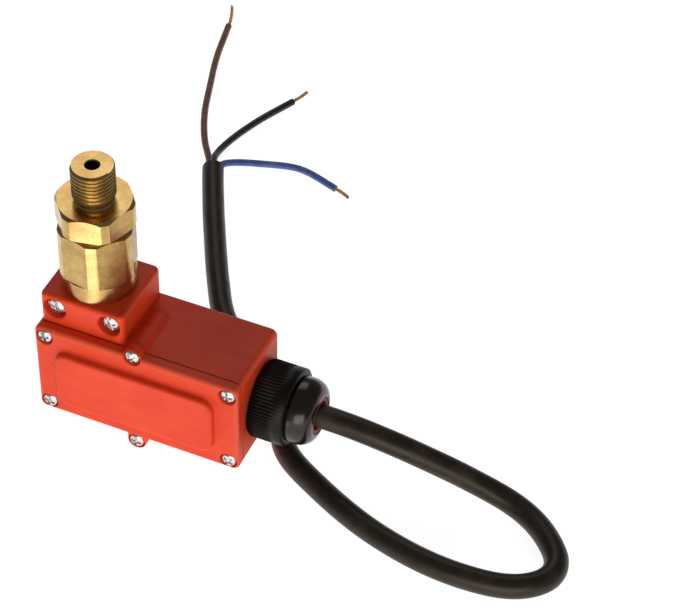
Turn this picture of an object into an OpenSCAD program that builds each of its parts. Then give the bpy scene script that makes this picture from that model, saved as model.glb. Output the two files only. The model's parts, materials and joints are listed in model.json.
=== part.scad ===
// Pressure switch: threaded brass fitting with a sprung piston, clamped in a
// two-part box that holds a microswitch, with a cable gland and a bare-ended cable.
// Origin: on the thread's axis, on the shoulder that the thread seats against.
// +Z runs out along the thread, +X towards the cable gland, -Y towards the cover.

/* [Thread] */
// Outside diameter of the pipe thread (G 1/4)
thread_d = 13.157; // [9.7:0.001:21]
// Length from the shoulder to the tip
thread_l = 12.6; // [9:0.1:20]
// Height of the relief under the thread
relief_h = 1.5; // [0.5:0.1:3]
// Depth of the relief below the thread's crest
relief_depth = 0.9; // [0.4:0.1:1.4]
// Diameter of the port
port_d = 4.3; // [2:0.1:6]

/* [Fitting] */
// Across flats of both hexagons
hex_af = 22; // [19:0.5:24]
// Turned diameter of the collar
collar_d = 24; // [22.4:0.1:27]
// Height of the collar
collar_h = 8; // [6:0.5:12]
// Turned diameter of the spring body
body_d = 23.6; // [22.4:0.1:26]
// Height of the body's hexagon
body_hex_h = 17.1; // [10:0.1:25]
// Diameter of the body's foot ring
foot_d = 22.6; // [20:0.1:26]
// Height of the body's foot ring
foot_h = 6.4; // [3:0.1:10]
// Thickness of the joint washer
joint_h = 0.9; // [0.4:0.1:2]
// Diameter of the neck in the head block
neck_d = 18.8; // [16:0.1:20]
// Diameter of the spring chamber
chamber_d = 11.8; // [10:0.1:12]

/* [Plunger] */
// Diameter of the piston
piston_d = 6; // [4:0.1:8]
// Travel of the plunger
travel = 1.2; // [0.6:0.1:2]
// Diameter of the push rod
rod_d = 2.5; // [1.5:0.1:4]
// Wire of the spring
wire_d = 1.4; // [0.8:0.1:1.8]
// Turns of the spring
spring_turns = 7; // [4:1:9]

/* [Box] */
// Length of the box
box_l = 67; // [60:1:90]
// Height of the box
box_h = 34; // [33:0.5:50]
// Depth of the housing behind the cover
box_d = 25.2; // [24:0.2:36]
// Wall of the housing
wall = 2; // [1.2:0.1:3]
// Distance from the stem's axis to the box's left end
stem_inset = 14.5; // [14:0.5:20]
// Width of the head block
head_w = 27.6; // [26:0.2:29]
// Height of the head block
head_h = 10.6; // [10:0.2:16]
// Thickness of the cover's rim
cover_t = 3.8; // [3:0.1:6]
// How far the cover's panel stands proud
panel_h = 2.6; // [1:0.1:4]
// Thickness of the cover gasket
gasket_t = 0.4; // [0.3:0.1:1.2]
// Corner radius of the box
corner_r = 2.2; // [1:0.1:3]

/* [Fasteners] */
// Head of a cover screw
cover_screw_head_d = 5.2; // [4.6:0.1:6]
// Shank of a cover screw
cover_screw_d = 2.5; // [2.2:0.1:2.9]
// Head of a clamp screw
clamp_screw_head_d = 6.4; // [5.5:0.1:7]
// Shank of a clamp screw
clamp_screw_d = 3.5; // [3:0.1:4]
// Shank of a microswitch screw
switch_screw_d = 2.9; // [2:0.1:3]

/* [Gland] */
// Diameter of the knurled ring
gland_d = 24.4; // [21:0.1:26]
// Length of the knurled ring
gland_ring_l = 11.4; // [8:0.1:16]
// Diameter of the domed nut
dome_d = 20.8; // [18:0.1:21]
// Length of the domed nut
dome_l = 7.7; // [6:0.1:12]
// Number of ridges on the ring
ridges = 72; // [36:1:90]
// Diameter of the gland's screwed spigot
spigot_d = 16; // [14:0.5:18]
// Mouth of the domed nut
mouth_d = 11.8; // [9:0.1:13]

/* [Cable] */
// Diameter of the cable's sheath
cable_d = 7.4; // [5:0.1:8]
// Diameter of an insulated core
core_d = 2.4; // [1.8:0.1:2.6]
// Diameter of a bare copper end
copper_d = 1.3; // [0.8:0.1:1.5]

/* [Microswitch] */
// Length of the microswitch
micro_l = 27.8; // [27.8:0.1:32]
// Height of the microswitch
micro_h = 15.9; // [15.5:0.1:18]
// Thickness of the microswitch
micro_w = 10.3; // [9.5:0.1:12]

/* [Hidden] */
$fn = 64;

// colours
brass_c = [0.80, 0.62, 0.28];
steel_c = [0.70, 0.70, 0.70];
red_c = [0.86, 0.24, 0.15];
black_c = [0.07, 0.07, 0.07];
rubber_c = [0.10, 0.10, 0.10];
seal_c = [0.70, 0.14, 0.16];
copper_c = [0.78, 0.48, 0.25];

// clearances on radius or gap
screwed = 0.05;   // between a male thread's crest and its hole
running = 0.04;   // a neck, pin or rod that turns or slides
contact = 0.05;   // between parts that rest on each other
free_gap = 0.4;   // between parts that must never touch
eps = 0.5;        // overshoot of a cut

// heights on the stem's axis
z_collar = -collar_h;
z_body = z_collar - joint_h;
z_hex = z_body - body_hex_h;
z_head = z_hex - foot_h;
z_top = z_head - head_h;
z_bottom = z_top - box_h;
z_gland = (z_top + z_bottom) / 2;

// the box
x_left = -stem_inset;
x_right = x_left + box_l;
x_mid = (x_left + x_right) / 2;
y_front = -box_d / 2;
y_back = box_d / 2;
y_cover = y_front - cover_t;
y_panel = y_cover - panel_h;

// how far the two hexagons are turned from having a flat on -Y
collar_turn = 12;
body_turn = -10;

// the fitting's inside
male_d = 16;                        // screwed joint between stem and body
male_l = 8;
socket_l = male_l + 1;
z_male = z_collar - male_l;
z_socket = z_body - socket_l;
z_bore = -3;                        // top of the piston's bore
neck_end = z_top - wall + free_gap;
ring_h = 5;                         // adjuster ring
ring_z = neck_end + 1;
groove_d = 14.4;                    // groove that the clamp screws run in
clamp_z = z_head - 5;
clamp_x = groove_d / 2 + running + clamp_screw_d / 2;
clamp_groove_h = clamp_screw_d + 2 * 0.15;
clamp_seat = 3;                     // depth of the clamp screws' counterbores
clamp_head_h = 2.2;
clamp_hole_play = 0.5;              // round a clamp screw's head
neck_seal_z = z_head - 1.8;

// the plunger
guide_z = z_male - contact * 4;     // top of the guide's flange
guide_h = 1.8;
guide_d = chamber_d - 1.8;
piston_top = z_bore - contact * 2;
seal_z = piston_top - 3;
seal_w = 1.5;                       // cord of the piston's ring
groove_w = 1.9;
button_z = z_top - wall - 2.8;      // top of the switch button
rod_end = button_z + contact;
spring_top = guide_z - guide_h - contact;
spring_bottom = ring_z + ring_h + contact;
spring_r = (chamber_d - wire_d) / 2 - 0.5;

// the microswitch: its button stands on the stem's axis
micro_x = -8;
micro_wall = 2;
micro_top = button_z - travel - free_gap;
micro_bottom = micro_top - micro_h;
button_d = 3.2;
button_flange_d = 4;
nib_r = 0.5;                        // end of the button, on the leaf
leaf_t = 0.5;
leaf_w = 4;
leaf_x = 16.2;                      // leaf's pivot
leaf_tip = -4.2;
leaf_pin_d = 1.2;
leaf_z = micro_top - 4.6;           // leaf's mid-plane
bead_d = 1.6;
bead_h = 0.5;
tab_t = 0.8;
tab_w = 4.8;
tab_l = 6.3;
tab_end = micro_bottom - tab_l;
closed_x = -5.5;
open_x = 4.4;
contact_gap = travel * (leaf_x - leaf_tip) / leaf_x + contact;
post_x = [0.2, 11.5];
post_z = micro_bottom + 4.8;
post_d = 4.8;
micro_head_h = 1.6;
micro_screw_l = 14;
clip_t = 2.4;
clip_h = 6.6;
clip_top = micro_bottom - 0.4;
barrel_d = 2.8;

// the cover's screws
screw_in_x = 3.4;
screw_in_top = 3.6;
screw_in_bottom = 3;
middle_x = x_mid - 0.9;
middle_top = z_top - 0.4;
middle_bottom = z_bottom - 2.2;
rib_r = 3;                          // lobe round a middle screw
corner_screws = [for (x = [x_left + screw_in_x, x_right - screw_in_x],
                      z = [z_bottom + screw_in_bottom, z_top - screw_in_top]) [x, z]];
middle_screws = [[middle_x, middle_top], [middle_x, middle_bottom]];
all_screws = concat(corner_screws, middle_screws);
cover_head_h = 1.8;
cover_seat = 1.7;                   // depth of the cover screws' counterbores
cover_screw_l = 14;
head_play = 0.2;                    // round a cover screw's head
post_r = 3;

// the gland
gland_gap = 0.4;                    // thickness of the washer against the box
x_ring = x_right + gland_gap;
x_dome = x_ring + gland_ring_l;
x_mouth = x_dome + dome_l;
spigot_l = 7.5;
boss_l = 8;
boss_d = 20.4;
nut_male_d = 18;
nut_male_l = 6;
seal_recess = 0.2;
seal_end = x_mouth - seal_recess;
seal_l = 9.5;
seal_bore = cable_d + 2 * 0.35;
seal_d = mouth_d - 2 * contact;
thrust_l = 1.6;
tail_start = x_right - boss_l - 1;

// the cable drops from the gland, and lies level with the foot of the box
cable_path = [[72, 0, -60], [79, 0, -60], [86, 0.1, -60.6], [92.2, 0.5, -61.8], [98.1, 1.3, -63.5],
    [103.7, 2.3, -65.7], [109.6, 3.6, -68.3], [115.1, 4.8, -70.9], [120.7, 5.8, -73.6], [126.5, 6.4, -75.9],
    [132.5, 5.9, -77.5], [138.4, 3.9, -78.4], [144.1, 0.1, -78.7], [149.1, -5.2, -78.7],
    [151.1, -8.5, -78.7], [151.9, -12.1, -78.7], [151.1, -15.7, -78.7], [148.7, -18.9, -78.7],
    [144.5, -22.1, -78.7], [138.8, -24.1, -78.7], [132.8, -24.9, -78.7], [126.7, -25.2, -78.7],
    [120.5, -25, -78.7], [114.3, -24.3, -78.7], [107.9, -23.1, -78.7], [101.6, -21.5, -78.7],
    [95.1, -19.5, -78.7], [88.8, -17, -78.7], [82.3, -14.1, -78.7], [75.9, -10.8, -78.7],
    [69, -7.2, -78.7], [62.2, -2.8, -78.7], [57.6, 3, -78.7], [56.8, 10, -78.7],
    [56.2, 15.8, -78.7], [53.1, 21.6, -78.7], [47.1, 26.1, -78.7], [39.5, 29.2, -78.7], [32, 32.8, -78.7],
    [25.6, 37, -78.7], [20.2, 42, -78.7], [16.1, 47.6, -78.7], [12.8, 53.4, -78.7], [9.3, 59.4, -78.7],
    [5.1, 67.1, -78.7], [0.6, 75.6, -78.7], [-3.9, 84.1, -78.7], [-8.4, 93.1, -78.7],
    [-12.4, 101.1, -78.7], [-14.9, 106.6, -78.7]];
brown_path = [[-16.2, 106.4, -79.4], [-17.6, 109.7, -79.8], [-20.4, 114.1, -80.6],
    [-24.4, 119.6, -81], [-28.4, 127.1, -81], [-32.4, 136.1, -81], [-35.9, 147.6, -81],
    [-39.4, 158.1, -81], [-41.9, 167.1, -81], [-43.4, 175.1, -81], [-44.9, 182.1, -81]];
black_path = [[-15, 106.9, -77.2], [-16.4, 110.1, -77.6], [-17.7, 114.6, -79.8],
    [-17.9, 120.6, -81], [-16.1, 128.1, -81], [-13.9, 134.6, -81], [-11.4, 141.1, -81],
    [-8.4, 147.3, -81], [-5.9, 152.6, -81]];
blue_path = [[-13.9, 107.3, -79.4], [-14.1, 110.6, -79.8], [-11.9, 113.6, -80.6],
    [-7.4, 116.1, -81], [-0.9, 118.1, -81], [5.1, 120.1, -81], [11.1, 121.1, -81],
    [16.6, 119.9, -81], [21.6, 118.1, -81], [26.1, 116.6, -81]];
brown_end = [[-44.9, 182.1, -81], [-45.5, 184.9, -81], [-46.9, 189.1, -81], [-48.9, 193.5, -81]];
black_end = [[-5.9, 152.6, -81], [-4.4, 156.1, -81], [-3.4, 159.6, -81]];
blue_end = [[26.1, 116.6, -81], [29.1, 115.6, -81], [32.1, 114.1, -81]];
common_lead = [[22, 0, -68.5], [26, 0, -68.5], [31, 0, -67.5], [36, 0.4, -64.5], [39.5, 1, -61.8],
    [42, 1.2, -60.7], [43.4, 1.2, -60.7]];
open_lead = [[4.4, -7.2, -69], [4.4, -7.8, -69], [6, -9, -69], [9, -9.2, -69], [16, -8.6, -69],
    [24, -6.5, -67.5], [32, -3.5, -64], [39, -1.6, -61.4], [42, -1.2, -60.7], [43.4, -1.2, -60.7]];
closed_lead = [[-1.6, 0, -73.6], [3, 0, -73.6], [8, 3, -73.6], [12, 5.2, -73], [16, 5.6, -72.4],
    [20, 5.6, -71.6], [26, 5, -69], [31, 4, -65.2], [36, 2.4, -61], [39, 0.8, -58.9],
    [42, 0, -58.6], [43.4, 0, -58.6]];

// vectors
function unit(v) = v / norm(v);
function heading(p, i) = unit(p[min(i + 1, len(p) - 1)] - p[max(i - 1, 0)]);

// a tube of radius r along the points p, with one ring of n sides at each point
module tube(p, r, n) {
    rings = [for (i = [0 : len(p) - 1])
        let (t = heading(p, i), u = unit(cross(t, [0, 0, 1])), v = cross(u, t))
        for (k = [0 : n - 1]) p[i] + r * (cos(360 * k / n) * v + sin(360 * k / n) * u)];
    sides = [for (i = [0 : len(p) - 2], k = [0 : n - 1])
        let (a = i * n + k, b = i * n + (k + 1) % n) each [[a, b, b + n], [a, b + n, a + n]]];
    near_end = [for (k = [n - 1 : -1 : 0]) k];
    far_end = [for (k = [0 : n - 1]) (len(p) - 1) * n + k];
    polyhedron(rings, concat([near_end], sides, [far_end]), convexity = 6);
}

// a rectangle with round corners, from [x0, z0] to [x1, z1]
module round_rect(x0, z0, x1, z1, r) {
    translate([x0 + r, z0]) square([x1 - x0 - 2 * r, z1 - z0]);
    translate([x0, z0 + r]) square([x1 - x0, z1 - z0 - 2 * r]);
    for (x = [x0 + r, x1 - r], z = [z0 + r, z1 - r]) translate([x, z]) circle(r = r);
}

// an outline drawn in X and Z, thick from y0 to y1
module plate_y(y0, y1) {
    translate([0, y1, 0]) rotate([90, 0, 0]) linear_extrude(y1 - y0) children();
}

// a round bar along Y, and one along X
module bar_y(x, z, r, y0, y1) {
    translate([x, y1, z]) rotate([90, 0, 0]) cylinder(r = r, h = y1 - y0);
}
module bar_x(y, z, r, x0, x1) {
    translate([x0, y, z]) rotate([0, 90, 0]) cylinder(r = r, h = x1 - x0);
}

// a turned bar between z0 and z1 with six flats
module hex_bar(d, z0, z1, turn) {
    intersection() {
        translate([0, 0, z0]) cylinder(d = d, h = z1 - z0);
        translate([0, 0, z0 - eps]) rotate(turn)
            cylinder(d = hex_af / cos(30), h = z1 - z0 + 2 * eps, $fn = 6);
    }
}

// a disc with a hole, between z0 and z1
module washer(d, hole, z0, z1) {
    translate([0, 0, z0]) difference() {
        cylinder(d = d, h = z1 - z0);
        translate([0, 0, -eps]) cylinder(d = hole, h = z1 - z0 + 2 * eps);
    }
}

// a pan screw along Y, head towards the cover, with a cross in it
module pan_screw(x, z, y_seat, head_d, head_h, shank_d, length) {
    slot_w = head_d * 0.16;
    slot_l = head_d * 0.62;
    difference() {
        union() {
            bar_y(x, z, head_d / 2, y_seat - head_h * 0.6, y_seat);
            bar_y(x, z, head_d * 0.38, y_seat - head_h, y_seat - head_h * 0.6);
            bar_y(x, z, shank_d / 2, y_seat, y_seat + length);
        }
        for (turn = [0, 90]) translate([x, y_seat - head_h, z]) rotate([0, turn, 0])
            cube([slot_w, head_h * 1.2, slot_l], center = true);
    }
}

// ---- fitting ----

module port_stem() {
    color(brass_c) difference() {
        union() {
            translate([0, 0, relief_h]) cylinder(d = thread_d, h = thread_l - relief_h - 0.7);
            translate([0, 0, thread_l - 0.7]) cylinder(d1 = thread_d, d2 = thread_d - 1.4, h = 0.7);
            translate([0, 0, -eps]) cylinder(d = thread_d - 2 * relief_depth, h = relief_h + 2 * eps);
            hex_bar(collar_d, z_collar, -1, collar_turn);
            intersection() {
                hex_bar(collar_d, -1.5, 0, collar_turn);
                translate([0, 0, -1.5]) cylinder(d1 = collar_d + 1.4, d2 = collar_d - 2, h = 1.5);
            }
            translate([0, 0, z_male]) cylinder(d = male_d - 2 * screwed, h = male_l + eps);
        }
        translate([0, 0, z_bore - eps]) cylinder(d = port_d, h = thread_l - z_bore + 2 * eps);
        translate([0, 0, z_male - eps]) cylinder(d = piston_d + 2 * running, h = z_bore - z_male + eps);
    }
}

module joint_washer() {
    color(copper_c) washer(hex_af - 1.2, male_d + 0.2, z_body, z_collar);
}

module spring_body() {
    color(brass_c) difference() {
        union() {
            hex_bar(body_d, z_hex, z_body, body_turn);
            translate([0, 0, z_head + contact]) cylinder(d = foot_d, h = foot_h - contact);
            translate([0, 0, neck_end]) cylinder(d = neck_d, h = z_head - neck_end + 1);
        }
        translate([0, 0, z_socket]) cylinder(d = male_d, h = socket_l + eps);
        translate([0, 0, neck_end - eps]) cylinder(d = chamber_d, h = z_socket - neck_end + 2 * eps);
        // groove for the clamp screws, and one for the neck's ring
        washer(neck_d + 2, groove_d, clamp_z - clamp_groove_h / 2, clamp_z + clamp_groove_h / 2);
        washer(neck_d + 2, neck_d - 2.4, neck_seal_z - 0.9, neck_seal_z + 0.9);
    }
}

module neck_seal() {
    color(rubber_c) translate([0, 0, neck_seal_z])
        rotate_extrude() translate([neck_d / 2 - 0.55, 0]) circle(r = 0.55, $fn = 24);
}

module adjuster_ring() {
    color(brass_c) difference() {
        translate([0, 0, ring_z]) cylinder(d = chamber_d - 2 * screwed, h = ring_h);
        translate([0, 0, ring_z - eps]) cylinder(d = rod_d + 0.8, h = ring_h + 2 * eps);
        translate([0, 0, ring_z]) cube([chamber_d - 3, 1.2, 1.6], center = true);
    }
}

// ---- plunger ----

module piston() {
    color(steel_c) difference() {
        translate([0, 0, guide_z]) cylinder(d = piston_d, h = piston_top - guide_z);
        washer(piston_d + 2, piston_d - 2 * seal_w + 0.1, seal_z - groove_w / 2, seal_z + groove_w / 2);
    }
}

module piston_seal() {
    color(rubber_c) translate([0, 0, seal_z]) rotate_extrude()
        translate([(piston_d - seal_w) / 2 + running - 0.01, 0]) circle(d = seal_w - 0.1, $fn = 24);
}

module spring_guide() {
    color(steel_c) {
        translate([0, 0, guide_z - guide_h]) cylinder(d = guide_d, h = guide_h);
        translate([0, 0, rod_end]) cylinder(d = rod_d, h = guide_z - guide_h - rod_end + 0.2);
    }
}

// height of the spring's wire at turn a: it lies flat for the first and last turn
function spring_z(a) = let (h = spring_top - spring_bottom - wire_d, n = spring_turns)
    spring_bottom + wire_d / 2 + h * (a < 1 ? 0.08 * a : a > n - 1 ? 1 - 0.08 * (n - a)
        : 0.08 + 0.84 * (a - 1) / (n - 2));

module main_spring() {
    steps = 12;
    color(steel_c) tube([for (i = [0 : steps * spring_turns]) let (a = i / steps)
        [spring_r * cos(360 * a), spring_r * sin(360 * a), spring_z(a)]], wire_d / 2, 6);
}

// ---- box ----

module box_outline() {
    round_rect(x_left, z_bottom, x_right, z_top, corner_r);
}

// the lobes that carry the two middle screws
module rib_outline() {
    for (s = middle_screws) translate(s) circle(r = rib_r);
    translate([middle_x - rib_r, middle_bottom]) square([2 * rib_r, z_bottom - middle_bottom + 1]);
}

module housing() {
    color(red_c) difference() {
        union() {
            difference() {
                union() {
                    plate_y(y_front, y_back) box_outline();
                    plate_y(y_front, y_front + cover_screw_l + wall) rib_outline();
                }
                plate_y(y_front - eps, y_back - wall)
                    round_rect(x_left + wall, z_bottom + wall, x_right - wall, z_top - wall, 1);
            }
            // head block
            translate([-head_w / 2, y_front, z_top - 1]) cube([head_w, box_d, head_h + 1]);
            // posts for the cover's screws
            for (s = corner_screws) bar_y(s[0], s[1], post_r, y_front, y_back - wall / 2);
            for (s = middle_screws) intersection() {
                bar_y(s[0], s[1], post_r, y_front, y_back - wall / 2);
                translate([x_left, y_front, z_bottom]) cube([box_l, box_d, box_h]);
            }
            // boss that the gland screws into
            bar_x(0, z_gland, boss_d / 2, x_right - boss_l, x_right - wall / 2);
            // posts behind the microswitch
            for (x = post_x) bar_y(x, post_z, 3, micro_w / 2 + contact, y_back - wall / 2);
        }
        // neck
        translate([0, 0, z_top - wall - 1 - eps])
            cylinder(d = neck_d + 2 * running, h = head_h + wall + 1 + 2 * eps);
        // clamp screws: a blind bore, and a counterbore
        for (side = [-1, 1]) {
            bar_y(side * clamp_x, clamp_z, clamp_screw_d / 2 + screwed, y_front - eps, y_back - 1);
            bar_y(side * clamp_x, clamp_z, clamp_screw_head_d / 2 + clamp_hole_play, y_front - eps, y_front + clamp_seat);
        }
        for (s = all_screws) bar_y(s[0], s[1], cover_screw_d / 2 + screwed, y_front - eps, y_front + cover_screw_l);
        for (x = post_x) bar_y(x, post_z, switch_screw_d / 2 + screwed, 0, y_back - wall);
        bar_x(0, z_gland, spigot_d / 2, x_right - boss_l - eps, x_right + eps);
    }
}

module clamp_screws() {
    color(steel_c) for (side = [-1, 1])
        pan_screw(side * clamp_x, clamp_z, y_front + clamp_seat, clamp_screw_head_d, clamp_head_h,
            clamp_screw_d, box_d - clamp_seat - 1.5);
}

module cover_gasket() {
    color(rubber_c) difference() {
        plate_y(y_front - gasket_t, y_front)
            round_rect(x_left + 0.4, z_bottom + 0.4, x_right - 0.4, z_top - 0.4, corner_r);
        plate_y(y_front - gasket_t - eps, y_front + eps)
            round_rect(x_left + 2.2, z_bottom + 2.2, x_right - 2.2, z_top - 2.2, 1);
        for (s = all_screws) bar_y(s[0], s[1], cover_screw_d / 2 + 0.3, y_front - gasket_t - eps, y_front + eps);
    }
}

module cover() {
    color(red_c) difference() {
        union() {
            plate_y(y_cover, y_front - gasket_t) { box_outline(); rib_outline(); }
            plate_y(y_panel, y_cover + eps)
                round_rect(x_left + 7.5, z_bottom + 6.5, x_right - 7.5, z_top - 6.5, 4);
        }
        // hollow behind the panel
        plate_y(y_panel + wall, y_front)
            round_rect(x_left + 7.5 + wall, z_bottom + 6.5 + wall, x_right - 7.5 - wall, z_top - 6.5 - wall, 2.5);
        for (s = all_screws) {
            bar_y(s[0], s[1], cover_screw_d / 2 + screwed * 2, y_cover - eps, y_front + eps);
            bar_y(s[0], s[1], cover_screw_head_d / 2 + head_play, y_cover - eps, y_cover + cover_seat);
        }
    }
}

module cover_screws() {
    color(steel_c) for (s = all_screws)
        pan_screw(s[0], s[1], y_cover + cover_seat, cover_screw_head_d, cover_head_h,
            cover_screw_d, cover_screw_l + y_front - y_cover - cover_seat - 1);
}

// ---- microswitch ----

module micro_outline() {
    round_rect(micro_x, micro_bottom, micro_x + micro_l, micro_top, 0.8);
}

module tab_slots(play) {
    for (x = [closed_x, open_x, leaf_x])
        translate([x - tab_t / 2 - play, -tab_w / 2 - play, micro_bottom - eps])
            cube([tab_t + 2 * play, tab_w + 2 * play, micro_wall + 2 * eps]);
}

module switch_case() {
    color(black_c) difference() {
        union() {
            difference() {
                plate_y(-micro_w / 2 + micro_wall, micro_w / 2) micro_outline();
                plate_y(-micro_w / 2, micro_w / 2 - micro_wall)
                    round_rect(micro_x + micro_wall, micro_bottom + micro_wall,
                        micro_x + micro_l - micro_wall, micro_top - micro_wall, 0.5);
            }
            for (x = post_x) bar_y(x, post_z, post_d / 2, -micro_w / 2 + micro_wall, micro_w / 2 - 1);
        }
        tab_slots(contact);
        for (x = post_x) bar_y(x, post_z, switch_screw_d / 2 + screwed, -micro_w, micro_w);
        bar_y(leaf_x, leaf_z, leaf_pin_d / 2 + 0.01, 0, micro_w / 2 - micro_wall + 1);
        translate([0, 0, micro_top - micro_wall - eps]) cylinder(d = button_d + 2 * running, h = micro_wall + 2 * eps);
    }
}

module switch_lid() {
    color([0.16, 0.16, 0.17]) difference() {
        plate_y(-micro_w / 2, -micro_w / 2 + micro_wall - contact) micro_outline();
        for (x = post_x) bar_y(x, post_z, switch_screw_d / 2 + screwed, -micro_w, micro_w);
        bar_y(leaf_x, leaf_z, leaf_pin_d / 2 + 0.01, -micro_w / 2 + micro_wall - 1, 0);
    }
}

module switch_screws() {
    color(steel_c) for (x = post_x)
        pan_screw(x, post_z, -micro_w / 2, 5, micro_head_h, switch_screw_d, micro_screw_l);
}

module switch_button() {
    color([0.75, 0.12, 0.10]) {
        translate([0, 0, leaf_z + leaf_t / 2 + contact]) cylinder(r = nib_r, h = 1);
        translate([0, 0, leaf_z + leaf_t / 2 + 0.4]) cylinder(d = button_d, h = button_z - leaf_z - leaf_t / 2 - 0.4);
        translate([0, 0, micro_top - micro_wall - 0.2 - 0.9]) cylinder(d = button_flange_d, h = 0.9);
    }
}

module contact_leaf() {
    color(brass_c) difference() {
        union() {
            translate([leaf_tip, -leaf_w / 2, leaf_z - leaf_t / 2]) cube([leaf_x - leaf_tip, leaf_w, leaf_t]);
            bar_y(leaf_x, leaf_z, leaf_pin_d / 2 + 0.6, -leaf_w / 2, leaf_w / 2);
            translate([leaf_tip + 1, 0, leaf_z - leaf_t / 2 - bead_h]) cylinder(d = bead_d, h = leaf_t + 2 * bead_h);
        }
        bar_y(leaf_x, leaf_z, leaf_pin_d / 2 + running, -leaf_w, leaf_w);
    }
}

module leaf_pin() {
    half = micro_w / 2 - micro_wall + 0.8;
    color(steel_c) bar_y(leaf_x, leaf_z, leaf_pin_d / 2, -half, half);
}

// a flat blade from z0 up to z1
module blade(x, z0, z1) {
    translate([x - tab_t / 2, -tab_w / 2, z0]) cube([tab_t, tab_w, z1 - z0]);
}

module terminal_common() {
    color(brass_c) blade(leaf_x, tab_end, leaf_z - leaf_pin_d / 2 - 0.6 - 0.1);
}

module terminal_closed() {
    pad_z = leaf_z + leaf_t / 2 + bead_h + contact;
    color(brass_c) {
        blade(closed_x, tab_end, pad_z + tab_t);
        translate([closed_x - tab_t / 2, -tab_w / 2, pad_z]) cube([leaf_tip + 2.2 - closed_x, tab_w, tab_t]);
    }
}

module terminal_open() {
    pad_z = leaf_z - leaf_t / 2 - bead_h - contact_gap;
    color(brass_c) {
        blade(open_x, tab_end, pad_z);
        translate([leaf_tip - 0.2, -tab_w / 2, pad_z - tab_t])
            cube([open_x + tab_t / 2 - leaf_tip + 0.2, tab_w, tab_t]);
    }
}

// a receptacle on the blade at x, with its barrel's end at p
module receptacle(x) {
    difference() {
        translate([x - clip_t / 2, -tab_w / 2 - 0.8, clip_top - clip_h]) cube([clip_t, tab_w + 1.6, clip_h]);
        translate([x - tab_t / 2 - contact, -tab_w / 2 - contact, clip_top - clip_h - eps])
            cube([tab_t + 2 * contact, tab_w + 2 * contact, clip_h + 2 * eps]);
    }
}

module crimp_receptacles() {
    color(steel_c) {
        receptacle(leaf_x);
        difference() {
            bar_x(0, common_lead[0][2], barrel_d / 2, leaf_x + clip_t / 2 - 0.3, common_lead[0][0]);
            bar_x(0, common_lead[0][2], core_d / 2 - 0.3, leaf_x + clip_t / 2 + 1, common_lead[0][0] + eps);
        }
        receptacle(open_x);
        bar_y(open_x, open_lead[0][2], barrel_d / 2, open_lead[0][1], -tab_w / 2 - 0.5);
        receptacle(closed_x);
        translate([closed_x - clip_t / 2, -1.2, closed_lead[0][2] - 1.2])
            cube([clip_t, 2.4, clip_top - clip_h - closed_lead[0][2] + 1.5]);
        bar_x(0, closed_lead[0][2], 1.3, closed_x - clip_t / 2, closed_lead[0][0]);
    }
}

module lead_common() { color([0.30, 0.18, 0.10]) tube(common_lead, core_d / 2 - 0.05, 8); }
module lead_open() { color([0.08, 0.08, 0.08]) tube(open_lead, core_d / 2 - 0.05, 8); }
module lead_closed() { color([0.12, 0.25, 0.60]) tube(closed_lead, core_d / 2 - 0.05, 8); }

// ---- gland ----

module gland_washer() {
    color(rubber_c) difference() {
        bar_x(0, z_gland, gland_d / 2 - 0.8, x_right, x_ring);
        bar_x(0, z_gland, spigot_d / 2 + 0.1, x_right - eps, x_ring + eps);
    }
}

// the ring's outline: a ridge and a groove for each step round
module knurl_outline(d, depth) {
    polygon([for (i = [0 : 2 * ridges - 1])
        let (a = 180 * i / ridges, r = d / 2 - (i % 2 == 0 ? 0 : depth)) [r * cos(a), r * sin(a)]]);
}

module gland_body() {
    color(black_c) difference() {
        union() {
            translate([x_ring, 0, z_gland]) rotate([0, 90, 0])
                linear_extrude(gland_ring_l - 2) knurl_outline(gland_d, 0.35);
            bar_x(0, z_gland, gland_d / 2 - 0.1, x_dome - 2.1, x_dome - 0.6);
            translate([x_dome - 0.6, 0, z_gland]) rotate([0, 90, 0])
                cylinder(d1 = gland_d - 0.2, d2 = gland_d - 1.6, h = 0.6);
            bar_x(0, z_gland, spigot_d / 2 - screwed, x_right - spigot_l, x_ring + 1);
        }
        bar_x(0, z_gland, nut_male_d / 2, x_dome - nut_male_l - 0.6, x_dome + eps);
        bar_x(0, z_gland, seal_d / 2 + contact, x_dome - nut_male_l - 2.4, x_dome);
        bar_x(0, z_gland, cable_d / 2 + 0.3, x_right - spigot_l - eps, x_dome);
    }
}

module thrust_ring() {
    x0 = seal_end - seal_l - thrust_l;
    color([0.13, 0.13, 0.13]) difference() {
        bar_x(0, z_gland, seal_d / 2, x0, x0 + thrust_l - contact);
        bar_x(0, z_gland, cable_d / 2 + 0.15, x0 - eps, x0 + thrust_l + eps);
    }
}

module gland_seal() {
    color(seal_c) difference() {
        bar_x(0, z_gland, seal_d / 2, seal_end - seal_l, seal_end);
        bar_x(0, z_gland, seal_bore / 2, seal_end - seal_l - eps, seal_end + eps);
    }
}

module gland_nut() {
    edge = 3.6;      // radius of the dome's shoulder
    r = dome_d / 2;
    color(black_c) difference() {
        union() {
            bar_x(0, z_gland, nut_male_d / 2 - screwed, x_dome - nut_male_l, x_dome + 1);
            translate([x_dome + contact, 0, z_gland]) rotate([0, 90, 0]) rotate_extrude()
                union() {
                    square([r, dome_l - edge - contact]);
                    square([r - edge, dome_l - contact]);
                    translate([r - edge, dome_l - edge - contact]) circle(r = edge);
                }
        }
        bar_x(0, z_gland, mouth_d / 2, x_dome - nut_male_l - eps, x_mouth + eps);
    }
}

// ---- cable ----

module cable_tail() {
    color(black_c) bar_x(0, z_gland, cable_d / 2, tail_start, x_mouth);
}

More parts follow.
